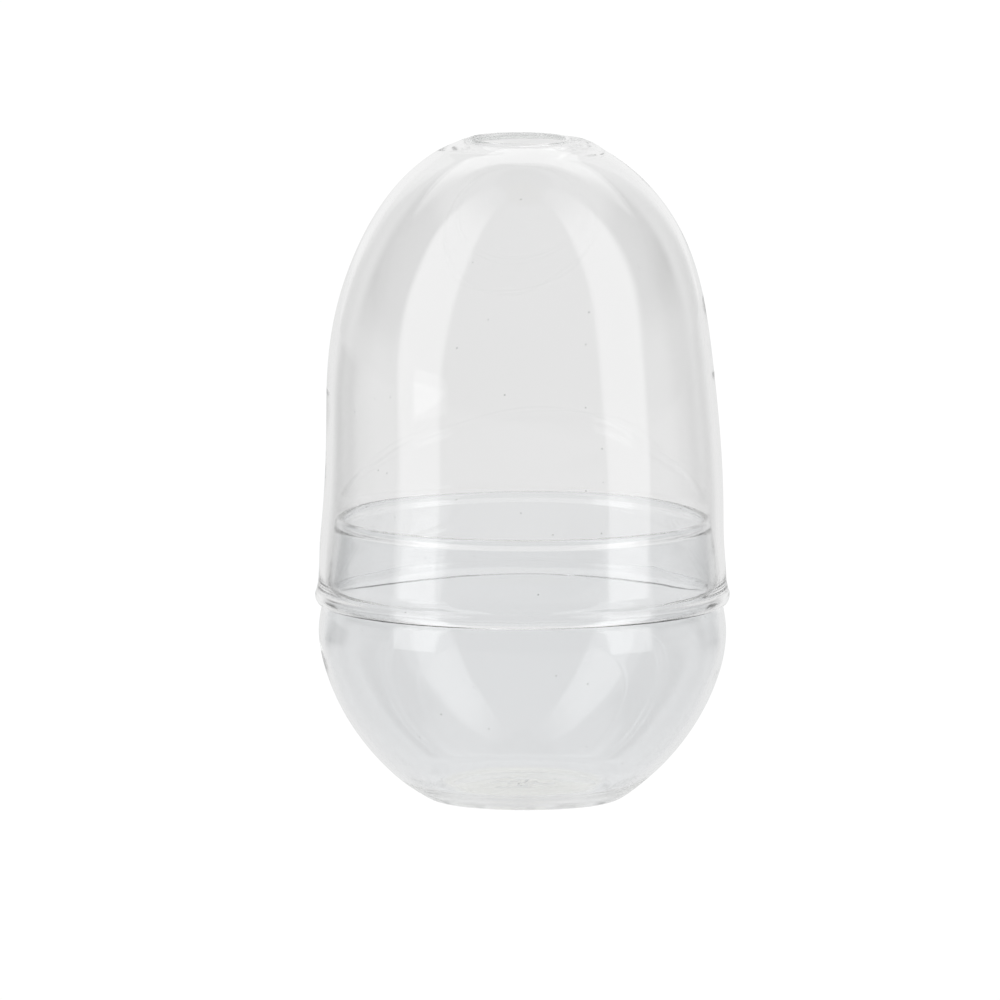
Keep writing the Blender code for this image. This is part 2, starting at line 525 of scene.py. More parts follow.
def bend(start: Point, control: Point, end: Point) -> np.ndarray:
    """Points on a quadratic curve: the start, control and end weighted by (1-t)^2, 2t(1-t) and t^2.

    Args:
        start: The first point.
        control: The point that the curve leaves towards and arrives from.
        end: The last point.

    Returns:
        The points, one row each.
    """
    t = np.linspace(0.0, 1.0, CURVE_POINTS)[:, None]
    return (1 - t) ** 2 * np.array(start) + 2 * t * (1 - t) * np.array(control) + t**2 * np.array(end)


def inward(curve: np.ndarray, wall: float) -> np.ndarray:
    """A curve that runs upwards, moved along its normal into the glass by the wall's thickness.

    Args:
        curve: Radius and height, one row each.
        wall: The thickness.

    Returns:
        The moved curve.
    """
    tangent = np.gradient(curve, axis=0)
    tangent /= np.linalg.norm(tangent, axis=1)[:, None]
    return curve + np.column_stack((-tangent[:, 1] * wall, tangent[:, 0] * wall))


def smooth_step(value: np.ndarray) -> np.ndarray:
    """Rises from 0 to 1 with level ends: 3v^2 - 2v^3 of the value held between 0 and 1."""
    value = np.clip(value, 0.0, 1.0)
    return value * value * (3 - 2 * value)


@dataclass
class Outline:
    """A turned piece's outline, as a fine polyline of radius and height."""

    points: np.ndarray
    closed: bool
    spacing: float = 0.00008

    def evened(self) -> "Outline":
        """The same line with its points evenly spaced along its length.

        Returns:
            The evened outline.
        """
        line = np.vstack((self.points, self.points[:1])) if self.closed else self.points
        length = np.concatenate(([0.0], np.cumsum(np.linalg.norm(np.diff(line, axis=0), axis=1))))
        keep = np.concatenate(([True], np.diff(length) > SAME_PLACE))
        line, length = line[keep], length[keep]
        count = int(length[-1] / self.spacing)
        at = np.linspace(0.0, length[-1], count, endpoint=not self.closed)
        even = np.column_stack((np.interp(at, length, line[:, 0]), np.interp(at, length, line[:, 1])))
        return Outline(even, self.closed, self.spacing)

    def rounded(self, reach: float) -> "Outline":
        """The line with its corners softened, by a moving average with Gaussian weights along its length.

        Args:
            reach: The weights' standard deviation in metres.

        Returns:
            The rounded outline.
        """
        return self.evened().blurred(reach)

    def blurred(self, reach: float) -> "Outline":
        """The same softening for a line that is already evened; its points keep their number.

        An open line is carried on past its ends by its own mirror image across the axis.

        Args:
            reach: The weights' standard deviation in metres.

        Returns:
            The softened outline.
        """
        half = int(BLUR_TAIL * reach / self.spacing)
        offsets = np.arange(-half, half + 1) * self.spacing
        weights = np.exp(-0.5 * (offsets / reach) ** 2)
        weights /= weights.sum()
        line = self.points
        if self.closed:
            padded = np.vstack((line[-half:], line, line[:half]))
        else:
            flip = np.array([-1.0, 1.0])
            padded = np.vstack((line[half:0:-1] * flip, line, line[-2 : -half - 2 : -1] * flip))
        soft = np.column_stack([np.convolve(padded[:, k], weights, "valid") for k in (0, 1)])
        if not self.closed:
            soft[[0, -1], 0] = 0.0
        return Outline(soft, self.closed, self.spacing)

    def thinned(self, count: int, bend_share: float = 0.45) -> np.ndarray:
        """Fewer points, closer together where the line bends.

        Args:
            count: How many points to keep.
            bend_share: The share of the points that follows the bending and not the length.

        Returns:
            The points, one row each.
        """
        line = np.vstack((self.points, self.points[:1])) if self.closed else self.points
        step = np.linalg.norm(np.diff(line, axis=0), axis=1)
        heading = np.unwrap(np.arctan2(np.diff(line[:, 1]), np.diff(line[:, 0])))
        turn = np.sqrt(np.abs(np.gradient(heading)) * step)
        weight = (1 - bend_share) * step / step.sum() + bend_share * turn / turn.sum()
        along = np.concatenate(([0.0], np.cumsum(weight)))
        at = np.linspace(0.0, along[-1], count, endpoint=not self.closed)
        return np.column_stack((np.interp(at, along, line[:, 0]), np.interp(at, along, line[:, 1])))


@dataclass(frozen=True)
class HandWork:
    """How far a blown piece wanders from a true turning, in metres, and where its waves start, in radians.

    Round the seat, from true_from to true_to, the piece is kept nearly true so that the two pieces fit.
    """

    oval: float = 0.00022
    lobes: float = 0.00010
    wall_waves: float = 0.00005
    wall_rings: float = 0.00003
    start: float = 0.0
    lobe_start: float = 1.7
    lobe_twist: float = 21.0
    wave_start: float = 2.3
    wave_twist: float = 34.0
    ring_pitch: float = 260.0
    ring_sway: float = 1.5
    still_radius: float = 0.03
    true_from: float = 0.066
    true_to: float = 0.078
    fade: float = 0.018
    kept: float = 0.12
    lean_low: float = 0.0
    lean_high: float = 0.0
    lean_wave: float = 0.0
    wave_middle: float = 0.165
    wave_length: float = 0.090

    def away(self, height: np.ndarray) -> tuple[np.ndarray, np.ndarray]:
        """How far a height is below and above the true band, as two smooth steps from 0 to 1.

        Args:
            height: The height.

        Returns:
            The step below the band and the one above it.
        """
        below = smooth_step((self.true_from - height) / self.fade)
        return below, smooth_step((height - self.true_to) / self.fade)

    def freedom(self, height: np.ndarray) -> np.ndarray:
        """The share of the wandering that a height is allowed: kept in the true band, and 1 away from it."""
        below, above = self.away(height)
        return self.kept + (1 - self.kept) * (below + above)

    def moved(
        self, radius: np.ndarray, height: np.ndarray, angle: np.ndarray, inside: np.ndarray
    ) -> np.ndarray:
        """The radius with its wanderings, which die out towards the axis.

        They are an oval, the cosine of twice the angle, and three lobes that twist with height. Inside there
        are also five waves round the wall, which twist the other way, and rings up it that sway.

        Args:
            radius: The true radius.
            height: The height.
            angle: The angle about the axis.
            inside: 1 on the inner surface and 0 on the outer one.

        Returns:
            The new radius.
        """
        oval = np.cos(2 * angle + self.start)
        lobes = np.cos(3 * angle + self.lobe_start * self.start + self.lobe_twist * height)
        waves = np.cos(5 * angle - self.wave_start * self.start - self.wave_twist * height)
        rings = np.sin(self.ring_pitch * height + self.ring_sway * np.cos(angle + self.start))
        outside_part = self.oval * oval + self.lobes * lobes
        inside_part = self.wall_waves * waves + self.wall_rings * rings
        small = smooth_step(radius / self.still_radius) * self.freedom(height)
        return radius + small * (outside_part + inside * inside_part)

    def offset(self, height: np.ndarray) -> np.ndarray:
        """How far the axis leans to the side.

        Below the true band that is a plain lean, and above it a lean with a wave, a cosine of the height.

        Args:
            height: The height.

        Returns:
            The distance along x.
        """
        below, above = self.away(height)
        wave = np.cos(2 * math.pi * (height - self.wave_middle) / self.wave_length)
        return self.lean_low * below + above * (self.lean_high + self.lean_wave * wave)


def mesh_object(
    name: str, vertices: np.ndarray, faces: list[list[int]], smooth: bool = True
) -> bpy.types.Object:
    """Makes a mesh object at the origin.

    Args:
        name: The object's name.
        vertices: Their places, one row each.
        faces: Vertex numbers, one row for each face.
        smooth: Whether its faces are shaded smooth.

    Returns:
        The object, linked into the scene.
    """
    mesh = bpy.data.meshes.new(name)
    mesh.from_pydata(vertices.tolist(), [], faces)
    mesh.polygons.foreach_set("use_smooth", [smooth] * len(mesh.polygons))
    mesh.validate()
    mesh.update()
    made = bpy.data.objects.new(name, mesh)
    bpy.context.scene.collection.objects.link(made)
    return made


@dataclass
class Turning:
    """Carries an outline round the Z axis: each point becomes a ring, and faces join the rings."""

    outline: np.ndarray
    closed: bool
    inside: np.ndarray
    work: HandWork
    segments: int

    def grid(self) -> np.ndarray:
        """The rings' points: x = radius cos(angle) plus the lean, y = radius sin(angle), z = height.

        Returns:
            An array of rings, points round the ring, and x, y and z.
        """
        angle = np.linspace(0.0, 2 * math.pi, self.segments, endpoint=False)[None, :]
        radius = self.outline[:, 0][:, None]
        height = self.outline[:, 1][:, None] + 0.0 * angle
        wide = self.work.moved(radius, height, angle, self.inside[:, None])
        x = wide * np.cos(angle) + self.work.offset(height)
        return np.stack((x, wide * np.sin(angle), height), axis=2)

    def faces(self) -> list[list[int]]:
        """The quads between each ring and the next.

        Returns:
            Vertex numbers, one row for each face.
        """
        rings, segments = len(self.outline), self.segments
        lower = np.arange(rings if self.closed else rings - 1)
        around = np.arange(segments)
        a = lower[:, None] * segments + around[None, :]
        b = lower[:, None] * segments + (around[None, :] + 1) % segments
        up = ((lower[:, None] + 1) % rings) * segments
        quads = np.stack((a, b, up + (around[None, :] + 1) % segments, up + around[None, :]), axis=2)
        return quads.reshape(-1, 4).tolist()

    def build(self, name: str, change: Callable[[np.ndarray], np.ndarray]) -> bpy.types.Object:
        """Makes the piece.

        Args:
            name: The piece's name.
            change: A last change to the grid of points.

        Returns:
            The piece.
        """
        points = change(self.grid()).reshape(-1, 3)
        faces = self.faces()
        if not self.closed:
            points, faces = self._poles(points, faces)
        return mesh_object(name, points, faces)

    def _poles(self, flat: np.ndarray, faces: list[list[int]]) -> tuple[np.ndarray, list[list[int]]]:
        """Replaces the first and last rings, which have no width, by one point each with a fan round it.

        Args:
            flat: All the points.
            faces: All the quads.

        Returns:
            The points and the faces with closed poles.
        """
        segments, last = self.segments, len(flat) - self.segments
        middle = flat[segments:last]
        poles = np.array([flat[:segments].mean(axis=0), flat[last:].mean(axis=0)])
        quads = np.array(faces) - segments
        low_pole, high_pole = len(middle), len(middle) + 1
        first, body, top = quads[:segments], quads[segments:-segments], quads[-segments:]
        low_fan = np.column_stack((np.full(segments, low_pole), first[:, 2], first[:, 3]))
        high_fan = np.column_stack((top[:, 0], top[:, 1], np.full(segments, high_pole)))
        return np.vstack((middle, poles)), low_fan.tolist() + body.tolist() + high_fan.tolist()


# ----------------------------------------------------------------------------------------------------------
# The bell's pieces
# ----------------------------------------------------------------------------------------------------------


@dataclass
class Bowl:
    """The round-bottomed bowl with its foot, shoulder and collar. Sizes are in metres.

    The punt is the hollow under the foot, level out to a share of its radius. Each neck ripple has its number
    of waves, its start in radians and its share. Each scar ridge has its number of arms, its twist in radians
    to a metre, its start and its share.
    """

    radius: float
    collar_top: float
    waist: float = 0.0618
    flattening: float = 0.0096
    bulge: float = 1.72
    tuck: float = 1.90
    wall: float = 0.0022
    foot_radius: float = 0.0310
    foot_blend: float = 0.0025
    punt_radius: float = 0.0250
    punt_level: float = 0.93
    punt_depth: float = 0.0014
    punt_reach: float = 1.2
    floor_thickness: float = 0.0070
    floor_radius: float = 0.0290
    floor_blend: float = 0.0030
    floor_step: float = 0.0010
    floor_edge: float = 0.0026
    floor_edge_points: int = 40
    shoulder_rise: float = 0.0080
    shoulder_height: float = 0.0070
    collar_inset: float = 0.0031
    collar_taper: float = 0.0030
    collar_sweep: float = 1.6
    rim_width: float = 0.0034
    rim_height: float = 0.0048
    rim_share_inside: float = 0.4
    slope_step: float = 0.05
    neck_height: float = 0.0760
    neck_points: int = 1600
    neck_ridge: float = 0.00062
    neck_width: float = 0.0008
    neck_wave: float = 0.00050
    neck_reach: float = 0.0030
    neck_ripples: tuple[tuple[int, float, float], ...] = ((9, 0.6, 1.0), (16, 2.1, 0.7), (27, 0.0, 0.5))
    neck_calm: float = 0.35
    neck_lively_angle: float = 0.75
    neck_lively_spread: float = 0.1
    foot_slide: float = 0.0006
    foot_slide_height: float = 0.009
    foot_narrowing: float = 0.13
    scar_place: Point = (-0.0004, -0.0010)
    scar_depth: float = 0.00100
    scar_radius: float = 0.0085
    scar_core: float = 0.0012
    scar_stretch: float = 0.8
    scar_ridges: tuple[tuple[int, float, float, float], ...] = (
        (3, 360.0, 0.0, 1.0),
        (5, -520.0, 1.0, 0.6),
    )
    rounding: float = 0.00045
    rings: int = 330
    segments: int = 288
    work: HandWork = HandWork(start=0.9, lean_low=0.00025, lean_high=0.0006)
    finish: ClearGlass = ClearGlass(
        name="bowl_glass_clear",
        tint=(0.950, 0.957, 0.963),
        cast=(0.937, 0.945, 0.952),
        depth_colour=(0.74, 0.75, 0.70),
        depth_density=1.5,
        base_height=0.012,
    )

    @property
    def shoulder(self) -> float:
        """The height at which the wall starts to draw in to the collar."""
        return self.waist + self.shoulder_rise

    def body_radius(self, height: np.ndarray | float) -> np.ndarray:
        """The body's outside: radius times (1 - reach^bulge)^(1/tuck), for a reach away from the waist."""
        reach = np.clip(np.abs(height - self.waist) / (self.waist + self.flattening), 0.0, 1.0)
        return self.radius * (1 - reach**self.bulge) ** (1 / self.tuck)

    def collar_radius(self, height: np.ndarray | float) -> np.ndarray:
        """The collar's outside: its lowest radius less the taper times a power of the share climbed."""
        share = np.clip((height - self.shoulder) / (self.collar_top - self.shoulder), 0.0, 1.0)
        return self.radius - self.collar_inset - self.collar_taper * share**self.collar_sweep

    def wall_radius(self, height: np.ndarray | float) -> np.ndarray:
        """The whole outside: the body's, blended into the collar's by a smooth step up the shoulder."""
        share = smooth_step((height - self.shoulder) / self.shoulder_height)
        return (1 - share) * self.body_radius(height) + share * self.collar_radius(height)

    def inner_curve(self) -> np.ndarray:
        """The inside above the floor: at each height the least radius that leaves the wall its thickness.

        That is the least, over the outside's points, of the point's radius less the square root of the wall
        squared less the height's distance squared. A low ridge, a Gaussian of height, runs round the neck.

        Returns:
            Radius and height, one row each, rising.
        """
        outside = np.linspace(self.foot_blend - self.wall, self.collar_top, self.neck_points)
        radius = self.wall_radius(np.maximum(outside, self.foot_blend))
        height = np.linspace(self.foot_blend, self.collar_top, WALL_POINTS)
        apart = height[:, None] - outside[None, :]
        drop = np.sqrt(np.clip(self.wall**2 - apart**2, 0.0, None))
        inside = np.where(np.abs(apart) < self.wall, radius[None, :] - drop, np.inf).min(axis=1)
        inside -= self.neck_ridge * np.exp(-(((height - self.neck_height) / self.neck_width) ** 2))
        return np.column_stack((inside, height))

    def outline(self) -> Outline:
        """The outline: from the axis up the outside, over the rim and down the inside to the axis.

        Returns:
            The outline before it is turned.
        """
        level_end = (self.punt_radius * self.punt_level, self.punt_depth)
        punt = bend((0.0, self.punt_depth), level_end, (self.punt_radius, 0.0))
        foot = self._into_wall(self.foot_blend, 0.0, self.foot_radius, self.wall_radius)
        rim_middle = self.collar_top - self.rim_height / 2
        rise = np.linspace(self.foot_blend, rim_middle, WALL_POINTS)
        body = np.column_stack((self.wall_radius(rise), rise))
        rim_centre = (float(self.collar_radius(rim_middle)) - self.rim_width / 2, rim_middle)
        rim = arc(rim_centre, self.rim_width / 2, self.rim_height / 2, 0.0, math.pi)
        inner = self.inner_curve()
        floor_end = self.floor_thickness + self.floor_blend
        under_rim = rim_middle - self.rim_height * self.rim_share_inside
        down = inner[(inner[:, 1] < under_rim) & (inner[:, 1] > floor_end)][::-1]
        axis = np.array([[0.0, self.floor_thickness]])
        runs = (punt, foot, body, rim, down, self._floor(inner, floor_end), axis)
        return Outline(np.vstack(runs), closed=False).rounded(self.rounding)

    def _floor(self, inner: np.ndarray, floor_end: float) -> np.ndarray:
        """The inner floor's edge: a bend out of the wall, then a smooth step up to the raised disc.

        Args:
            inner: The inside's curve, radius and height.
            floor_end: The height at which the bend leaves the wall.

        Returns:
            The points from the wall inwards, one row each.
        """

        def inner_radius(height: float) -> float:
            """The inside's radius at a height."""
            return float(np.interp(height, inner[:, 1], inner[:, 0]))

        low = self.floor_thickness - self.floor_step
        edge_end = self.floor_radius + self.floor_edge
        around = self._into_wall(floor_end, low, edge_end, inner_radius)[::-1]
        edge = np.linspace(edge_end, self.floor_radius, self.floor_edge_points)
        rise = smooth_step((edge_end - edge) / self.floor_edge)
        return np.vstack((around, np.column_stack((edge, low + self.floor_step * rise))))

    def _into_wall(
        self, height: float, level: float, flat_radius: float, wall_radius: Callable[[float], float]
    ) -> np.ndarray:
        """A bend from the edge of a level disc into a wall, which it meets along the wall's own slope.

        Args:
            height: Where it meets the wall.
            level: The disc's height.
            flat_radius: The disc's radius.
            wall_radius: The wall's radius as a function of height.

        Returns:
            The points, one row each.
        """
        meet = float(wall_radius(height))
        above = float(wall_radius(height * (1 + self.slope_step)))
        slope = (above - meet) / (height * self.slope_step)
        return bend((flat_radius, level), (meet - slope * (height - level), level), (meet, height))

    def build(self) -> bpy.types.Object:
        """Turns the outline and adds the marks of hand work.

        Returns:
            The piece.
        """
        line = self.outline().thinned(self.rings)
        top = int(np.argmax(line[:, 1]))
        inside = smooth_step((np.arange(len(line)) - top) / TURN_OVER_RINGS)
        return Turning(line, False, inside, self.work, self.segments).build("blown_bowl", self._worked)

    def _worked(self, grid: np.ndarray) -> np.ndarray:
        """Sets the foot a little to one side and narrows it, and adds the neck's ripple and the iron's scar.

        The foot's part of the grid slides and narrows by a smooth step of its height. The ripple is for the
        second half of the rings, which is the inside, and the scar for the first third, under the foot.

        Args:
            grid: Rings, points and x, y, z.

        Returns:
            The changed grid.
        """
        x, y, z = (grid[:, :, k].copy() for k in range(3))
        number = np.arange(len(grid))[:, None]
        under = (number < len(grid) // 3) & (z < self.punt_depth * self.punt_reach)
        inner = number > len(grid) // 2
        foot = smooth_step((self.foot_slide_height - z) / self.foot_slide_height)
        grid[:, :, 0] = x + self.foot_slide * foot
        grid[:, :, 1] = y * (1 - self.foot_narrowing * foot)
        grid[:, :, 2] = z + inner * self._ripple(np.arctan2(y, x), z) + under * self._scar(x, y)
        return grid

    def _ripple(self, angle: np.ndarray, height: np.ndarray) -> np.ndarray:
        """The neck's ripple: sines of the angle under a Gaussian of the height, livelier on one side.

        Args:
            angle: The angle about the axis.
            height: The height.

        Returns:
            How far it lifts the glass.
        """
        ripple = sum(share * np.sin(count * angle + start) for count, start, share in self.neck_ripples)
        lively = smooth_step(np.cos(angle - self.neck_lively_angle) + self.neck_lively_spread)
        near = np.exp(-(((height - self.neck_height) / self.neck_reach) ** 2))
        return self.neck_wave * near * (self.neck_calm + (1 - self.neck_calm) * lively) * ripple

    def _scar(self, x: np.ndarray, y: np.ndarray) -> np.ndarray:
        """The iron's scar: spiral ridges, cosines of the angle and of the distance, under a fading hump.

        Args:
            x: The place to the side.
            y: The place to the back.

        Returns:
            How far it lifts the glass.
        """
        across, along = x - self.scar_place[0], y - self.scar_place[1]
        distance, turn = np.hypot(across, along * self.scar_stretch), np.arctan2(along, across)
        hump = np.exp(-((distance / self.scar_radius) ** 2)) * smooth_step(distance / self.scar_core)
        ridges = sum(
            share * np.cos(count * turn + twist * distance + start)
            for count, twist, start, share in self.scar_ridges
        )
        return self.scar_depth * hump * ridges

    def dress(self, piece: bpy.types.Object) -> None:
        """Gives the piece its finish and puts it in the frame.

        Args:
            piece: The bowl's piece.
        """
        piece.data.materials.append(self.finish.material())
        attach(piece, "bowl")
        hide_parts("glass_bowl")


@dataclass
class Dome:
    """The tall dome with its rolled rim and the lip round its vent. Sizes are in metres."""

    rim_radius: float
    bottom: float
    top: float
    rim_width: float = 0.0039
    rim_height: float = 0.0064
    rim_proud: float = 0.0010
    wall: float = 0.0022
    straight: float = 0.0602
    straight_points: int = 500
    lean: float = 0.046
    crown_rise: float = 0.1090
    crown_fullness: float = 2.92
    vent_radius: float = 0.0172
    lip_radius: float = 0.0011
    lip_shelf: float = 0.0034
    lip_stand: float = 0.0009
    vent_slide: float = -0.0012
    lip_slide: float = 0.0011
    lip_reach: float = 0.0040
    vent_zone: float = 0.0060
    vent_zone_fade: float = 0.0030
    slide_radius: float = 0.0235
    slide_fade: float = 0.0100
    lip_bumps: float = 0.00022
    bump_count: int = 11
    bump_start: float = 1.0
    bump_pitch: float = 1700.0
    bump_rise: float = 0.002
    bump_angle: float = -0.25
    bump_spread: float = 0.55
    rim_rounding: float = 0.00060
    rim_rounding_end: float = 0.010
    rim_rounding_fade: float = 0.004
    rim_fairing: float = 0.0020
    fairing_from: float = 0.0004
    fairing_fade: float = 0.0016
    fairing_to: float = 0.020
    rounding: float = 0.00036
    rings: int = 330
    segments: int = 288
    work: HandWork = HandWork(start=2.4, true_from=0.0, true_to=0.084, lean_high=-0.0002, lean_wave=-0.0006)
    finish: ClearGlass = ClearGlass(
        name="dome_glass_clear",
        tint=(0.985, 0.985, 0.985),
        cast=(0.977, 0.978, 0.977),
        depth_colour=(0.72, 0.78, 0.72),
        depth_density=0.5,
    )

    @property
    def wall_foot(self) -> float:
        """The wall's outside radius at the rim."""
        return self.rim_radius - self.rim_proud

    @property
    def rim_middle(self) -> float:
        """The height of the rolled rim's centre."""
        return self.bottom + self.rim_height / 2

    def outer_curve(self) -> np.ndarray:
        """The outside: a leaning wall times the square root of 1 - reach^fullness, up the crown.

        Returns:
            Radius and height, one row each, rising.
        """
        turn = self.rim_middle + self.straight
        crown = turn + self.crown_rise * np.sin(np.linspace(0.0, math.pi / 2, WALL_POINTS))
        height = np.concatenate((np.linspace(self.rim_middle, turn, self.straight_points)[:-1], crown))
        reach = np.clip((height - turn) / self.crown_rise, 0.0, 1.0)
        wall = self.wall_foot - self.lean * (height - self.rim_middle)
        return np.column_stack((wall * np.sqrt(1 - reach**self.crown_fullness), height))

    def outline(self) -> Outline:
        """The outline, round the rim, up the outside, over the vent's lip and down the inside.

        Returns:
            The outline before it is turned.
        """
        half_width, half_height = self.rim_width / 2, self.rim_height / 2
        rim_centre = (self.rim_radius - half_width, self.rim_middle)
        outer_meet = math.acos((self.wall_foot - rim_centre[0]) / half_width)
        inner_meet = math.acos((self.wall_foot - self.wall - rim_centre[0]) / half_width)
        rim = arc(rim_centre, half_width, half_height, inner_meet - 2 * math.pi, outer_meet)
        outer = self.outer_curve()
        shelf_radius = self.vent_radius + 2 * self.lip_radius + self.lip_shelf
        up = outer[(outer[:, 1] > rim[-1, 1]) & (outer[:, 0] > shelf_radius)]
        lip_centre = (self.vent_radius + self.lip_radius, self.top - self.lip_radius)
        lip_start = math.asin(1 - self.lip_stand / self.lip_radius)
        lip = arc(lip_centre, self.lip_radius, self.lip_radius, lip_start, 1.5 * math.pi)
        inner = inward(outer, self.wall)
        down = inner[(inner[:, 1] < lip[-1, 1]) & (inner[:, 1] > rim[0, 1])][::-1]
        return self._faired(Outline(np.vstack((rim, up, lip, down)), closed=True).evened())

    def _faired(self, line: Outline) -> Outline:
        """Softens the outline: a little everywhere, more at the rim, and most where the bead meets the wall.

        It is blurred by three reaches, and smooth steps of the height choose among the results.

        Args:
            line: The outline, evened.

        Returns:
            The softened outline.
        """
        points = line.blurred(self.rounding).points
        height = points[:, 1] - self.rim_middle
        near_rim = smooth_step((self.rim_rounding_end - height) / self.rim_rounding_fade)
        flare = smooth_step((height - self.fairing_from) / self.fairing_fade) * (height < self.fairing_to)
        for share, reach in ((near_rim, self.rim_rounding), (flare, self.rim_fairing)):
            points = points + share[:, None] * (line.blurred(reach).points - points)
        return Outline(points, True, line.spacing)

    def build(self) -> bpy.types.Object:
        """Turns the outline.

        Returns:
            The piece.
        """
        line = self.outline().thinned(self.rings)
        order = np.arange(len(line))
        top, low = int(np.argmax(line[:, 1])), int(np.argmin(line[:, 1]))
        past_lip = smooth_step((order - top) / TURN_OVER_RINGS)
        before_rim = smooth_step(((low - order) % len(line)) / TURN_OVER_RINGS)
        inside = past_lip * before_rim
        return Turning(line, True, inside, self.work, self.segments).build("blown_dome", self._worked)

    def _worked(self, grid: np.ndarray) -> np.ndarray:
        """Sets the vent's opening to one side and its lip to the other, and makes part of the lip uneven.

        Near the top, x slides by an amount that steps smoothly with the radius, from the opening to the lip
        and back to nothing on the crown. The unevenness is a product of sines under a Gaussian of the angle.

        Args:
            grid: Rings, points and x, y, z.

        Returns:
            The changed grid.
        """
        x, y, z = (grid[:, :, k].copy() for k in range(3))
        radius, angle = np.hypot(x, y), np.arctan2(y, x)
        high = smooth_step((z - self.top + self.vent_zone) / self.vent_zone_fade)
        kept = high * (1 - smooth_step((radius - self.slide_radius) / self.slide_fade))
        lip = smooth_step((radius - self.vent_radius) / self.lip_reach)
        rise = smooth_step((radius - self.vent_radius) / self.bump_rise)
        uneven = np.exp(-(((angle - self.bump_angle) / self.bump_spread) ** 2)) * rise
        bumps = np.sin(self.bump_count * angle + self.bump_start) * np.sin(self.bump_pitch * radius)
        grid[:, :, 0] = x + kept * (self.vent_slide + (self.lip_slide - self.vent_slide) * lip)
        grid[:, :, 2] = z + kept * self.lip_bumps * uneven * bumps
        return grid

    def dress(self, piece: bpy.types.Object) -> None:
        """Gives the piece its finish and puts it in the frame.

        Args:
            piece: The dome's piece.
        """
        piece.data.materials.append(self.finish.material())
        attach(piece, "dome")
        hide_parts("glass_dome")


# ----------------------------------------------------------------------------------------------------------
# The studio
# ----------------------------------------------------------------------------------------------------------


class Side(Enum):
    """The side of the camera that a light stands on."""

    LEFT = -1
    RIGHT = 1


@dataclass(frozen=True)
class Panel:
    """A curved soft panel, placed by the directions that it fills as seen from the object, in degrees.

    The azimuth is counted from the camera's side, positive to its right, and the elevation from the horizon.
    The panel is wider at the top by the spread on each side, its sides hang lower than its middle by the
    droop, and none of it goes lower than the lowest height.
    """

    name: str
    azimuth: Point
    elevation: Point
    glow: Glow
    spread: float = 0.0
    droop: float = 0.0
    distance: float = 0.70
    lowest: float = 0.001
    steps: int = 32

    def build(self, centre: Vector) -> None:
        """Makes the panel, which the camera doesn't see, as a patch of a sphere about the object.

        Args:
            centre: The object's centre.
        """
        share = np.linspace(0.0, 1.0, self.steps)
        u, v = np.meshgrid(share, share)
        middle = (self.azimuth[0] + self.azimuth[1]) / 2
        half = (self.azimuth[1] - self.azimuth[0]) / 2
        half = half + math.copysign(self.spread, half) * v
        azimuth = np.radians(middle + half * (2 * u - 1))
        elevation = self.elevation[0] + (self.elevation[1] - self.elevation[0]) * v
        elevation = np.radians(elevation - self.droop * (2 * u - 1) ** 2)
        out = np.cos(elevation)
        way = np.stack((out * np.sin(azimuth), -out * np.cos(azimuth), np.sin(elevation)), axis=2)
        points = np.array(centre) + self.distance * way
        points[:, :, 2] = np.maximum(points[:, :, 2], self.lowest)
        number = np.arange(self.steps**2).reshape(self.steps, self.steps)
        faces = np.stack((number[:-1, :-1], number[:-1, 1:], number[1:, 1:], number[1:, :-1]), axis=2)
        panel = mesh_object(self.name, points.reshape(-1, 3), faces.reshape(-1, 4).tolist())
        layer = panel.data.uv_layers.new(name="UVMap")
        corner = np.zeros(len(panel.data.loops), dtype=np.int64)
        panel.data.loops.foreach_get("vertex_index", corner)
        uv = np.stack((u, v), axis=2).reshape(-1, 2)[corner]
        layer.data.foreach_set("uv", uv.reshape(-1).astype(np.float32))
        panel.data.materials.append(self.glow.material())
        panel.visible_camera = False


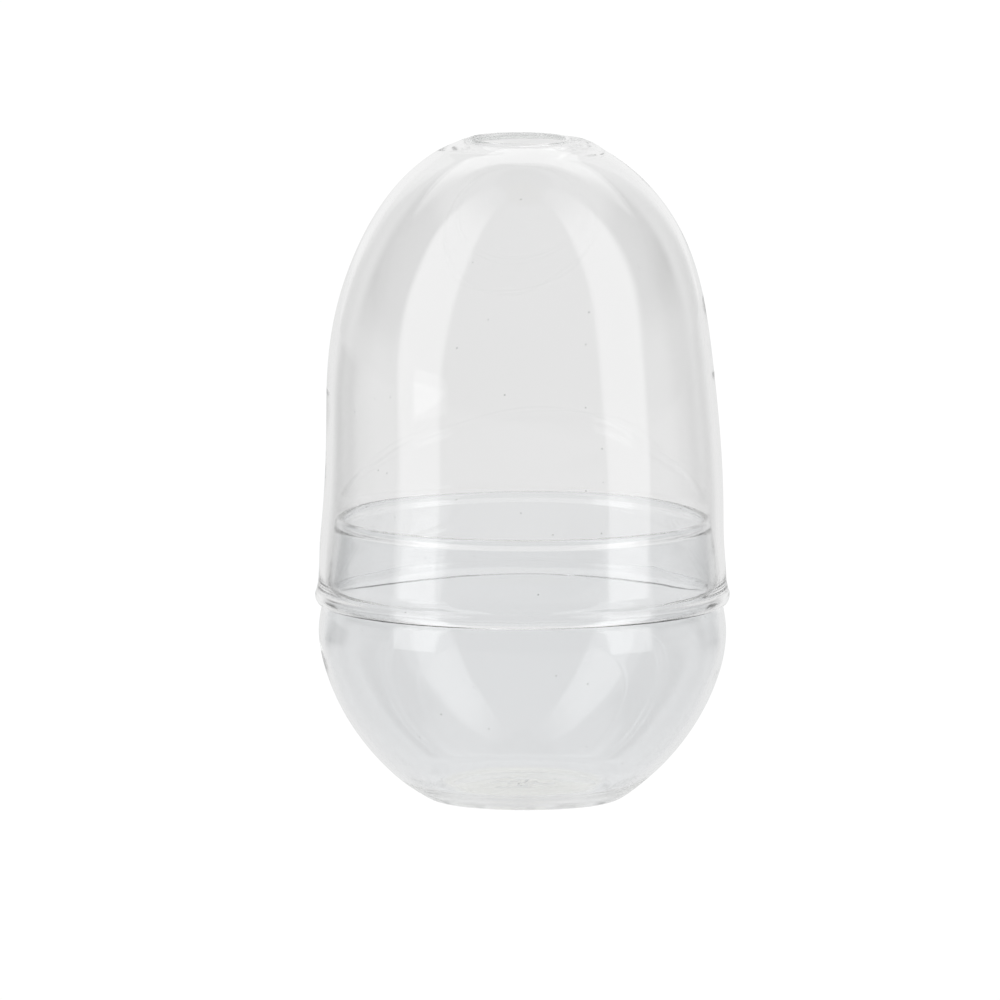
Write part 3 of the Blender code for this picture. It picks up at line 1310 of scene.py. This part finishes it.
@dataclass
class Studio:
    """The pale floor, the soft light and the camera."""

    floor_radius: float = 14.0
    floor_sides: int = 96
    floor_drop: float = 0.0002
    front: float = SURROUND_LEVEL
    back: float = 0.90
    back_side: Point = (0.62, 0.40)
    back_depth: Point = (-0.10, 0.25)
    back_top: Point = (0.88, 0.66)
    seen: float = 1.03
    card: float = 0.97
    card_front: Point = (-0.16, -0.06)
    card_back: Point = (0.62, 0.48)
    card_bottom: Point = (0.04, 0.26)
    card_top: Point = (0.80, 0.64)
    zenith: float = 0.35
    zenith_edge: Point = (0.955, 0.975)
    strip_azimuth: Point = (47.0, 76.0)
    strip_elevation: Point = (-10.0, 79.0)
    strip_spread: float = 10.0
    sky_azimuth: Point = (112.0, 248.0)
    sky_elevation: Point = (58.0, 77.0)
    sky_droop: float = 20.0
    camera_elevation: float = 7.5
    camera_distance: float = 6.0
    camera_clip: Point = (0.1, 100.0)
    frame_width: float = 0.3611
    sensor: float = 36.0
    bounces: int = 96
    aim: tuple[float, float, float] = (-0.0081, 0.0, 0.1092)

    def panels(self) -> list[Panel]:
        """The lights: a tall strip on each side, and a broad one behind and above.

        Returns:
            The panels.
        """
        strip = Glow("strip_glow", strength=1.78, soft_edge=0.11, soft_top=0.35)
        sky = Glow("sky_glow", strength=1.60, soft_edge=0.20)
        made = []
        for side in Side:
            azimuth = tuple(side.value * angle for angle in self.strip_azimuth)
            name = f"strip_{side.name.lower()}"
            made.append(Panel(name, azimuth, self.strip_elevation, strip, spread=self.strip_spread))
        made.append(Panel("overhead", self.sky_azimuth, self.sky_elevation, sky, droop=self.sky_droop))
        return made

    def floor(self) -> None:
        """Makes a large pale disc just under the foot."""
        angle = np.linspace(0.0, 2 * math.pi, self.floor_sides, endpoint=False)
        level = np.full(self.floor_sides, -self.floor_drop)
        edge = np.column_stack((self.floor_radius * np.cos(angle), self.floor_radius * np.sin(angle), level))
        made = mesh_object("floor", edge, [list(range(self.floor_sides))], smooth=False)
        made.data.materials.append(FloorGlow().material())

    def world(self) -> None:
        """The surround in the glass: a pale backdrop, dark cards at its sides and soft grey elsewhere.

        Each is a product of smooth steps of the direction's parts. Straight above, the grey is darker.
        """
        world = bpy.data.worlds.new("surround")
        world.use_nodes = True
        graph = Graph(world.node_tree)
        x, y, z = graph.parts(graph.signal("ShaderNodeTexCoord", {}, {}, "Generated"))
        backdrop = x.size().step(*self.back_side) * y.step(*self.back_depth) * z.step(*self.back_top)
        cards = y.step(*self.card_front) * y.step(*self.card_back)
        cards = cards * z.step(*self.card_bottom) * z.step(*self.card_top)
        level = backdrop * (self.back - self.front) + self.front
        lit = level * (1.0 - cards * self.card) * (1.0 - z.step(*self.zenith_edge) * self.zenith)
        strength = graph.to_camera(lit, self.seen)
        light = graph.node("ShaderNodeBackground", {}, {"Color": WHITE, "Strength": strength})
        graph.end("ShaderNodeOutputWorld", {"Surface": light})
        bpy.context.scene.world = world

    def camera(self) -> None:
        """Makes the scene's camera: a long lens in front, a little above the object, looking down."""
        lens = bpy.data.cameras.new("camera")
        lens.sensor_width = self.sensor
        lens.lens = self.sensor * self.camera_distance / self.frame_width
        lens.clip_start, lens.clip_end = self.camera_clip
        made = bpy.data.objects.new("camera", lens)
        bpy.context.scene.collection.objects.link(made)
        tilt = math.radians(self.camera_elevation)
        back = Vector((0.0, -math.cos(tilt), math.sin(tilt)))
        turned = back.to_track_quat("Z", "Y").to_matrix().to_4x4()
        made.matrix_world = Matrix.Translation(Vector(self.aim) + back * self.camera_distance) @ turned
        bpy.context.scene.camera = made

    def build(self, centre: Vector) -> None:
        """Builds it all and sets how light is carried through clear glass.

        Args:
            centre: The object's centre.
        """
        self.floor()
        self.world()
        self.camera()
        for panel in self.panels():
            panel.build(centre)
            LOG.info("light %s", panel.name)
        scene = bpy.context.scene
        scene.view_settings.view_transform = "Standard"
        scene.cycles.max_bounces = self.bounces
        scene.cycles.transmission_bounces = self.bounces
        scene.cycles.glossy_bounces = self.bounces


def main() -> None:
    """Builds the pieces in order, logs how many faces each has, and builds the studio round them."""
    logging.basicConfig(level=logging.INFO, format="%(name)s: %(message)s")
    _, bowl_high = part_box("glass_bowl")
    dome_low, dome_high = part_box("glass_dome")
    bowl = Bowl(radius=bowl_high.x, collar_top=bowl_high.z)
    dome = Dome(rim_radius=dome_high.x, bottom=dome_low.z, top=dome_high.z)
    for part in (bowl, dome):
        piece = part.build()
        part.dress(piece)
        LOG.info("%s has %d faces", piece.name, len(piece.data.polygons))
    Studio().build((Vector(CAD_BOX[0]) + Vector(CAD_BOX[1])) / 2)


if __name__ == "__main__":
    main()
